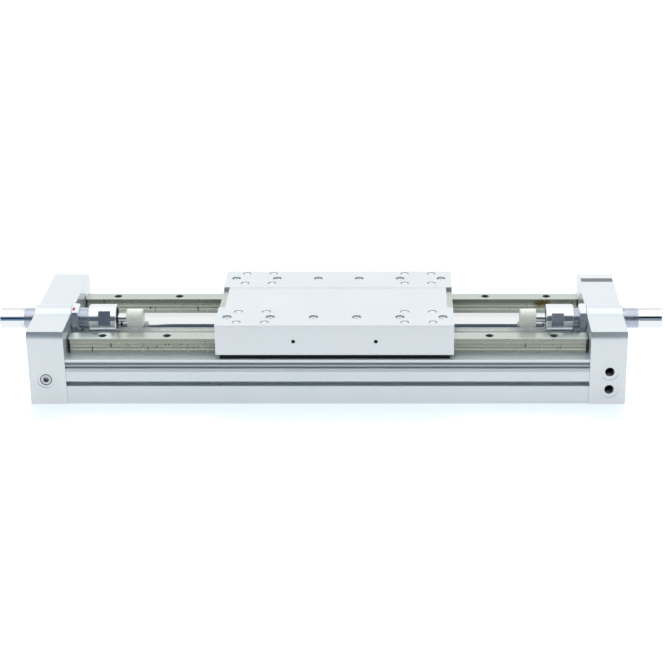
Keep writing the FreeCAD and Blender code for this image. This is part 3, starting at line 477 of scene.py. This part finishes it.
# End seals of the runners: rubber lips, moulded on thin steel plates, that wipe the rails clean.
# Two small black screws hold one on the outer face of every cap.
base_top = 44 * MM
seal_thickness = 1.2 * MM
seal_outline = [
    (-8.4, 5.6), (-16, 5.6), (-16, 21.2), (-14.8, 22.4), (14.8, 22.4),
    (16, 21.2), (16, 5.6), (8.4, 5.6), (8.4, 14.9), (-8.4, 14.9),
]
screw_side = 12.2 * MM
screw_height = 18 * MM
head_radius = 1.7 * MM
head_height = 0.7 * MM
head_sink = 0.05 * MM
head_middle = seal_thickness + head_height / 2 - head_sink
lying = Matrix.Rotation(math.radians(90), 4, "Y")
for name in runners:
    lowest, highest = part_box("runner_caps_" + name)
    middle = (lowest.y + highest.y) / 2
    seals = bmesh.new()
    heads = bmesh.new()
    for face, out in ((lowest.x, -1), (highest.x, 1)):
        corners = [
            seals.verts.new((face, middle + across * MM, base_top + up * MM)) for across, up in seal_outline
        ]
        plate = bmesh.ops.extrude_face_region(seals, geom=[seals.faces.new(corners)])
        raised = [item for item in plate["geom"] if isinstance(item, bmesh.types.BMVert)]
        bmesh.ops.translate(seals, verts=raised, vec=(out * seal_thickness, 0, 0))
        for side in (-1, 1):
            head = Vector((face + out * head_middle, middle + side * screw_side, base_top + screw_height))
            bmesh.ops.create_cone(
                heads, cap_ends=True, segments=20, radius1=head_radius, radius2=head_radius,
                depth=head_height, matrix=Matrix.Translation(head) @ lying,
            )
    bmesh.ops.recalc_face_normals(seals, faces=seals.faces)
    bmesh.ops.bevel(
        heads, geom=heads.edges[:], offset=0.15 * MM, segments=2, profile=0.5, affect="EDGES", material=-1,
    )
    new_piece("end_seals_" + name, seals, rubber, "carriage")
    new_piece("seal_screws_" + name, heads, black_screw, "carriage")

# Dark strips: extruded black rubber lips, glued under the long edges of the table. They flare outwards and
# all but touch the base, and fill the gap under the table's edges as painted shade.
strip_width = 1.6 * MM
strip_height = 3.3 * MM
strip_end_gap = 4 * MM
strip_inset = 1.1 * MM
strip_drop = 1.4 * MM
strip_flare = 1.6 * MM
lowest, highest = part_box("table")
strip_length = highest.x - lowest.x - 2 * strip_end_gap
strips = bmesh.new()
for side, table_edge in ((-1, lowest.y), (1, highest.y)):
    strip = bmesh.ops.create_cube(strips, size=1.0)["verts"]
    bmesh.ops.scale(strips, verts=strip, vec=(strip_length, strip_width, strip_height))
    strip_middle = ((lowest.x + highest.x) / 2, table_edge - side * strip_inset, lowest.z - strip_drop)
    bmesh.ops.translate(strips, verts=strip, vec=strip_middle)
    foot = [vert for vert in strip if vert.co.z < strip_middle[2]]
    bmesh.ops.translate(strips, verts=foot, vec=(0, side * strip_flare, 0))
bmesh.ops.bevel(
    strips, geom=strips.edges[:], offset=0.3 * MM, segments=2, profile=0.5, affect="EDGES", material=-1,
)
# Painted shade: these black strips fill the dark gap under the table's long edges.
new_piece("gap_shade_strips", strips, rubber, "carriage")

# Table: milled from thick aluminium plate, then blasted and clear anodised like the end plates.
# Sixteen socket screws in counterbores hold it on the four runner blocks.
dress(blasted_aluminium, "table")
dress(zinc_screw, "table_screws")

# Caps of the table screws: pale moulded plastic buttons, pushed into the sockets to keep dirt out.
# They lie a little below the table's top, and only a thin shadow shows round each.
screw_pattern = 26 * MM
screw_head = 3.5 * MM
button_profile = [(0, 0), (0, 3.1), (0.25, 3.1), (0.4, 2.6), (0.48, 0)]
upright = Matrix.Rotation(math.radians(-90), 3, "Y")

# The moulded plastic is nearly white with a soft shine. The real grain of the mould is about 0.1 mm wide.
# Here it is 1.25 mm, so that it shows.
button_plastic, shader, place = new_material("pale_button_plastic", "E9EFF2", 0.0, 0.35)
uneven_gloss(button_plastic, shader, place, (1.25, 1.25, 1.25), 0.3, 0.45)
lowest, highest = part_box("table_screws")
first_button = (lowest.x + screw_head, lowest.y + screw_head, highest.z)
to_next_runner = highest.x - lowest.x - 2 * screw_head - screw_pattern
to_next_rail = highest.y - lowest.y - 2 * screw_head - screw_pattern
buttons = bmesh.new()
spun(buttons, [(along * MM, radius * MM) for along, radius in button_profile], around=32)
bmesh.ops.rotate(buttons, verts=buttons.verts, cent=(0, 0, 0), matrix=upright)
bmesh.ops.translate(buttons, verts=buttons.verts, vec=first_button)
repeat(buttons, [(screw_pattern, 0, 0)])
repeat(buttons, [(0, screw_pattern, 0)])
repeat(buttons, [(to_next_runner, 0, 0)])
repeat(buttons, [(0, to_next_rail, 0)])
new_piece("screw_caps", buttons, button_plastic, "carriage")

# Threads of the table: inserts wound from stainless wire, screwed into the twelve holes for M8 screws.
# A shallow spot face with a steep lead-in cone is cut round the mouth of each hole.
tap_columns = 6
insert_depth = 1.3 * MM
mouth_profile = [(-0.5, 3.4), (-0.46, 3.4), (-0.46, 4.06), (-0.1, 4.3), (-0.5, 4.3)]
outer_taps = next(mount for mount in frame["record"]["mounts"] if mount["name"] == "table_bolts_outer")
taps_along = outer_taps["dims"]["spacing_x_mm"] * MM
taps_across = outer_taps["dims"]["spacing_y_mm"] * MM
tap_pitch = taps_along / (tap_columns - 1)
first_tap = Vector(outer_taps["pos_m"]) + Vector((-taps_along / 2, -taps_across / 2, 0))

# Drawn stainless wire is a bright, slightly dulled mirror deep in the hole.
wire_steel, shader, place = new_material("stainless_wire_insert", "EDF0F1", 1.0, 0.3)
uneven_gloss(wire_steel, shader, place, (1.11, 1.11, 1.11), 0.22, 0.38)
wire = bmesh.new()
thread_ridge(
    wire, first_tap - Vector((0, 0, insert_depth)), (0, 0, -1),
    wall=3.4 * MM, depth=0.5 * MM, pitch=1.25 * MM, length=6.6 * MM,
)
close_ends(wire)

# The cut mouths are painted greyer than the skin, as painted shade in the mouth of each hole.
mouth_metal, shader, place = new_material("countersunk_anodised_aluminium", "80878B", 1.0, 0.32)
uneven_gloss(mouth_metal, shader, place, (1.11, 1.11, 1.11), 0.25, 0.42)
cones = bmesh.new()
spun(cones, [(along * MM, radius * MM) for along, radius in mouth_profile], hollow=True, around=48)
bmesh.ops.rotate(cones, verts=cones.verts, cent=(0, 0, 0), matrix=upright)
bmesh.ops.translate(cones, verts=cones.verts, vec=first_tap)
for shape in (wire, cones):
    repeat(shape, [(0, taps_across, 0)])
    repeat(shape, [(number * tap_pitch, 0, 0) for number in range(1, tap_columns)])
new_piece("table_threads", wire, wire_steel, "carriage")
new_piece("tap_cones", cones, mouth_metal, "carriage")

# Stop plates: bars of hardened steel, ground flat, screwed into the notches at the ends of the table.
# They take the blow of the noses and of the stop sleeves at the end of the stroke.

# Ground steel is a warm middle grey with a dull mirror. Real grinding lines are about 0.05 mm apart. These
# are 1.1 mm apart, so that they show.
hard_steel, shader, place = new_material("hardened_ground_steel", "C9CCC7", 1.0, 0.28)
uneven_gloss(hard_steel, shader, place, (1.11, 33.3, 1.11), 0.2, 0.34, detail=3.0)
dress(hard_steel, "stop_plate_left", "stop_plate_right")
dress(zinc_screw, "stop_screws_left", "stop_screws_right")

# Slider: milled aluminium block round the tube. Ring magnets, pole rings, wear rings and wipers sit in it.
# The piston in the tube has the same magnets between two heads, clamped by a shaft and a nut.
dress(blasted_aluminium, "slider_block", "piston_head_left", "piston_head_right")
dress(hard_steel, "slider_poles", "piston_poles", "piston_shaft", "piston_nut")
dress(zinc_screw, "slider_magnets", "piston_magnets", "slider_screws")
dress(rubber, "wiper_left", "wiper_right", "piston_seal_left", "piston_seal_right")
dress(rubber, "bumper_left", "bumper_right")

# Filled bearing plastic is a matt brownish grey, slightly mottled by its filler.
bearing_plastic, shader, place = new_material("filled_bearing_plastic", "8C8570", 0.0, 0.5)
uneven_gloss(bearing_plastic, shader, place, (1.43, 1.43, 1.43), 0.4, 0.6, detail=3.0)
dress(bearing_plastic, "wear_ring_left", "wear_ring_right", "guide_ring_left", "guide_ring_right")

# Shock absorbers: turned steel bodies with a fine M20 thread and a smooth tail with a hollowed end.
# Each is screwed through an end plate's boss and held by a lock nut. A stop sleeve on the inner end takes
# the table's last push.
thread_start = 22.9 * MM
thread_radius = 10 * MM
thread_pitch = 1.5 * MM
thread_depth = 0.92 * MM
thread_root = thread_radius - thread_depth
front_chamfer = 0.8 * MM
front_radius = 8.4 * MM
front_hollow = 0.1 * MM
rod_guide = 4.35 * MM
tail_profile = [
    (0.9, 0), (0.9, 4.2), (0, 4.5), (0, 8.5), (1.2, 9.7), (21.3, 9.7), (21.3, 9.1), (22.9, 9.1), (22.9, 0),
]

# Hard chrome on the tails and rods is a clear, cool mirror. Real polishing rings are finer than 0.1 mm.
# These are 0.56 mm apart, so that they show.
hard_chrome, shader, place = new_material("hard_chromed_steel", "E6EAEC", 1.0, 0.08)
uneven_gloss(hard_chrome, shader, place, (0.556, 12.5, 12.5), 0.05, 0.12)

# An oil film on the zinc plated thread shines bluish, in patches of a few millimetres.
oiled_thread, shader, place = new_material("oiled_zinc_thread", "D8DDE6", 1.0, 0.25)
oil = uneven_gloss(oiled_thread, shader, place, (6.25, 6.25, 6.25), 0.18, 0.32)
tint = add(
    oiled_thread, "Mix", {FACTOR: oil, UNDER: linear("CDD2DE"), OVER: linear("E0E5EB")}, data_type="RGBA",
)
plug_in(oiled_thread, tint.outputs[BLEND], shader, "Base Color")

# Blue passivated zinc on nut and sleeve is a bright mirror with a trace of blue, a little cloudy.
bright_zinc, shader, place = new_material("blue_passivated_zinc", "F0F4F7", 1.0, 0.12)
clouds = uneven_gloss(bright_zinc, shader, place, (6.25, 6.25, 6.25), 0.15, 0.25, detail=4.0)
tint = add(
    bright_zinc, "Mix", {FACTOR: clouds, UNDER: linear("EAF1F6"), OVER: linear("F5F8F9")}, data_type="RGBA",
)
plug_in(bright_zinc, tint.outputs[BLEND], shader, "Base Color")
edge = add(bright_zinc, "Bevel", {"Radius": 0.2 * MM}, samples=4)
plug_in(bright_zinc, edge.outputs[0], shader, "Normal")


def threaded_rod(shape, low, high, radius, pitch, depth):
    """A closed rod along X whose surface is one right-hand helical thread."""
    around = 48
    root = radius - depth
    one_pitch = [(0, root), (0.375, radius), (0.5, radius), (0.875, root), (1, root)]
    start = low - pitch
    points = [shape.verts.new((start + along * pitch, 0, out)) for along, out in one_pitch]
    profile = [shape.edges.new(pair) for pair in zip(points, points[1:])]
    bmesh.ops.spin(
        shape, geom=points + profile, cent=(0, 0, 0), axis=(1, 0, 0), dvec=(pitch / around, 0, 0),
        angle=math.tau, steps=around,
    )
    turns = 1
    while turns * pitch < high - low + 2 * pitch:
        repeat(shape, [(turns * pitch, 0, 0)])
        turns *= 2
    bmesh.ops.remove_doubles(shape, verts=shape.verts, dist=pitch / 2000)
    for at, way in ((low, -1), (high, 1)):
        everything = shape.verts[:] + shape.edges[:] + shape.faces[:]
        bmesh.ops.bisect_plane(
            shape, geom=everything, plane_co=(at, 0, 0), plane_no=(way, 0, 0), clear_outer=True,
        )
    close_ends(shape)


for end, way in (("left", -1), ("right", 1)):
    lowest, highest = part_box("shock_body_" + end)
    tail_end = Vector((0, (lowest.y + highest.y) / 2, (lowest.z + highest.z) / 2))
    tail_end.x = lowest.x if way < 0 else highest.x
    length = highest.x - lowest.x
    thread_end = length - front_chamfer
    rod = bmesh.new()
    threaded_rod(rod, thread_start, thread_end, thread_radius, thread_pitch, thread_depth)
    spun(rod, [
        (thread_end, 0), (thread_end, thread_root), (length, front_radius), (length, rod_guide),
        (length - front_hollow, 0),
    ])
    tail = bmesh.new()
    spun(tail, [(along * MM, radius * MM) for along, radius in tail_profile])
    turn = Matrix.Rotation(0 if way < 0 else math.pi, 3, "Z")
    for shape in (rod, tail):
        bmesh.ops.rotate(shape, verts=shape.verts, cent=(0, 0, 0), matrix=turn)
        bmesh.ops.translate(shape, verts=shape.verts, vec=tail_end)
    body = new_piece("threaded_body_" + end, rod, oiled_thread, "base")
    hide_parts("shock_body_" + end)
    new_piece("chromed_tail_" + end, tail, hard_chrome, "base")
    dress(bright_zinc, "lock_nut_" + end, "stop_sleeve_" + end)

# Rods and noses: hard chromed steel rods, ground to slide in the bodies, with noses turned from acetal.
# The noses are pressed on the rods, to meet the table softly.

# Acetal is ivory white with a soft waxy shine. Real turning rings are about 0.1 mm apart. These are
# 0.4 mm apart, so that they show.
acetal, shader, place = new_material("ivory_acetal", "F3FAF4", 0.0, 0.36)
shader.inputs["IOR"].default_value = 1.48
uneven_gloss(acetal, shader, place, (0.4, 25, 25), 0.3, 0.44)
for end in ("left", "right"):
    dress(hard_chrome, "shock_rod_" + end)
    dress(acetal, "shock_nose_" + end)

# Inspection mark: a dab of red paint, put on by hand with a brush when the left lock nut was tightened.
# It lies on the nut's upper flat with a ragged rim, and is only as thick as one coat.
dab_radius = 1.5 * MM
dab_swell = (1.9, 1.5, 1.0, 0.9, 1.1, 1.4, 1.5, 1.3, 0.9, 0.8, 1.1, 1.6)
coat_thickness = 0.06 * MM
flat_tilt = math.radians(17.5)
flat_middle = (-239.7 * MM, -26.24 * MM, 74.93 * MM)
dab = bmesh.new()
rim = bmesh.ops.create_circle(dab, cap_ends=True, segments=len(dab_swell), radius=dab_radius)["verts"]
for vert, swell in zip(rim, dab_swell):
    vert.co *= swell
coat = bmesh.ops.extrude_face_region(dab, geom=dab.faces[:])["geom"]
raised = [item for item in coat if isinstance(item, bmesh.types.BMVert)]
bmesh.ops.translate(dab, verts=raised, vec=(0, 0, coat_thickness))
bmesh.ops.recalc_face_normals(dab, faces=dab.faces)
bmesh.ops.rotate(dab, verts=dab.verts, cent=(0, 0, 0), matrix=Matrix.Rotation(flat_tilt, 3, "X"))
bmesh.ops.translate(dab, verts=dab.verts, vec=flat_middle)

# Brushed paint is a strong red, paler where the coat is thin, with a soft shine.
red_paint, shader, place = new_material("red_marking_paint", "C23A44", 0.0, 0.4)
brush = add(red_paint, "TexNoise", {"Vector": place, "Scale": 1 / (0.667 * MM), "Detail": 3.0})
coat_colour = add(
    red_paint, "Mix",
    {FACTOR: brush.outputs["Fac"], UNDER: linear("B22B38"), OVER: linear("D8616A")}, data_type="RGBA",
)
plug_in(red_paint, coat_colour.outputs[BLEND], shader, "Base Color")
new_piece("paint_mark", dab, red_paint, "base")


# Studio: a white paper floor in a white room, with one broad soft lamp above and behind the object.
# Grey cards before it and white cards over it, which only mirrors see, give the metal its dark and bright
# bands. The view is the photograph's.
def stage_plane(name, corners, material):
    """A flat sheet that belongs to the studio, not to the object."""
    sheet = bmesh.new()
    sheet.faces.new([sheet.verts.new(corner) for corner in corners])
    mesh = bpy.data.meshes.new(name)
    sheet.to_mesh(mesh)
    sheet.free()
    mesh.materials.append(material)
    plane = bpy.data.objects.new(name, mesh)
    bpy.context.scene.collection.objects.link(plane)
    return plane


def seen_white(owner):
    """One where a ray comes from the camera, a mirror or clear glass."""
    path = add(owner, "LightPath").outputs
    metal = add(owner, "Math", {0: path["Is Camera Ray"], 1: path["Is Glossy Ray"]}, operation="MAXIMUM")
    clear = add(owner, "Math", {0: metal.outputs[0], 1: path["Is Transmission Ray"]}, operation="MAXIMUM")
    return clear.outputs[0]


def mirror_card(name, corners, hex_colour, strength):
    """A glowing card that only mirrors see: it isn't in view, and gives no light or shadow."""
    stuff = bpy.data.materials.new(name)
    stuff.use_nodes = True
    stuff.node_tree.nodes.clear()
    shade = add(stuff, "Emission", {"Color": linear(hex_colour), "Strength": strength})
    add(stuff, "OutputMaterial", {"Surface": shade.outputs[0]})
    card = stage_plane(name, corners, stuff)
    card.visible_camera = False
    card.visible_diffuse = False
    card.visible_shadow = False


# Matt paper lights the object from below. Mirrors see it white, and the camera sees it white with the
# object's cool, faint shadow.
paper = bpy.data.materials.new("white_paper_floor")
paper.use_nodes = True
paper.node_tree.nodes.clear()
matt = add(paper, "BsdfDiffuse", {"Color": linear("F2F4F5")})
faint = add(paper, "BsdfDiffuse", {"Color": linear("7C7F82")})
glow = add(paper, "Emission", {"Color": linear("FFFFFF"), "Strength": 0.9})
white = add(paper, "AddShader", {0: faint.outputs[0], 1: glow.outputs[0]})
mirrored = add(paper, "MixShader", {0: seen_white(paper), 1: matt.outputs[0], 2: white.outputs[0]})
cool = add(paper, "BsdfDiffuse", {"Color": linear("E6F1F8")})
low_glow = add(paper, "Emission", {"Color": linear("F3FDFF"), "Strength": 0.48})
shaded = add(paper, "AddShader", {0: cool.outputs[0], 1: low_glow.outputs[0]})
in_view = add(paper, "LightPath").outputs["Is Camera Ray"]
floor_mix = add(paper, "MixShader", {0: in_view, 1: mirrored.outputs[0], 2: shaded.outputs[0]})
add(paper, "OutputMaterial", {"Surface": floor_mix.outputs[0]})
floor_reach = 6.0
floor_corners = [(-1, -1), (1, -1), (1, 1), (-1, 1)]
stage_plane("floor", [(x * floor_reach, y * floor_reach, 0) for x, y in floor_corners], paper)

# Every front card is given by its left, right, foot and top in metres, and by its colour. The bluish ones
# at the sides are what the chromed tails mirror. The white wings overhead are brighter than the middle.
card_front = -0.36
card_foot = 0.001
for number, (left, right, foot, top, card_colour) in enumerate((
    (-0.222, 0.224, card_foot, 0.379, "505965"),
    (-0.32, -0.222, card_foot, 0.288, "505965"),
    (0.224, 0.315, card_foot, 0.337, "505965"),
    (-0.45, -0.32, 0.087, 0.262, "27456C"),
    (-0.45, -0.32, card_foot, 0.087, "89AAC8"),
    (0.315, 0.45, 0.165, 0.331, "1A2130"),
    (0.315, 0.45, card_foot, 0.165, "95A2AF"),
    (-2.50, -0.45, card_foot, 0.36, "505965"),
    (0.45, 2.50, card_foot, 0.36, "505965"),
)):
    corners = [(left, foot), (right, foot), (right, top), (left, top)]
    mirror_card("card_%d" % number, [(x, card_front, z) for x, z in corners], card_colour, 1.0)
ceiling = 1.2
ceiling_front = -1.12
ceiling_back = 0.44
for number, (left, right, strength) in enumerate((
    (-0.46, 0.36, 1.1), (-1.0, -0.46, 1.8), (0.36, 1.0, 1.8),
)):
    corners = [(left, ceiling_front), (right, ceiling_front), (right, ceiling_back), (left, ceiling_back)]
    mirror_card("ceiling_card_%d" % number, [(x, y, ceiling) for x, y in corners], "FFFFFF", strength)

# The room is white to the eye and to mirrors, and lights the object softly, mostly from above.
world = bpy.data.worlds.new("white_room")
world.use_nodes = True
bpy.context.scene.world = world
world.node_tree.nodes.clear()
brightest = (0.0, 0.1, 0.995)
toward = add(world, "TexCoord").outputs["Generated"]
lean = add(world, "VectorMath", {0: toward, 1: brightest}, operation="DOT_PRODUCT")
level = add(world, "MapRange", {
    "Value": lean.outputs["Value"], "From Min": 0.3, "From Max": 0.85, "To Min": 0.10, "To Max": 0.95,
})
soft = add(world, "Background", {"Color": linear("FFFFFF"), "Strength": level.outputs[0]})
plain = add(world, "Background", {"Color": linear("FFFFFF"), "Strength": 1.0})
room = add(world, "MixShader", {0: seen_white(world), 1: soft.outputs[0], 2: plain.outputs[0]})
add(world, "OutputWorld", {"Surface": room.outputs[0]})

# The lamp is broad and slightly warm, and mirrors don't show it.
lamp_data = bpy.data.lights.new("overhead_soft_light", "SUN")
lamp_data.angle = math.radians(40)
lamp_data.color = (1.0, 0.95, 0.90)
lamp_data.energy = 1.75
lamp = bpy.data.objects.new("overhead_soft_light", lamp_data)
lamp.location = (0.0, 0.8, 1.6)
lamp.rotation_euler = (math.radians(-40), 0.0, 0.0)
lamp.visible_glossy = False
bpy.context.scene.collection.objects.link(lamp)

# The camera was fitted to the photograph by the 60 mm pitch of the rail screws.
camera_data = bpy.data.cameras.new("camera")
camera_data.sensor_width = 36.0
camera_data.lens = 96.65
camera_data.shift_x = -0.1098
camera_data.clip_start = 0.05
camera = bpy.data.objects.new("camera", camera_data)
camera.location = (0.0719, -1.582, 0.7004)
camera.rotation_euler = (math.radians(67.35), 0.0, 0.0)
bpy.context.scene.collection.objects.link(camera)
bpy.context.scene.camera = camera
bpy.context.scene.view_settings.view_transform = "Standard"
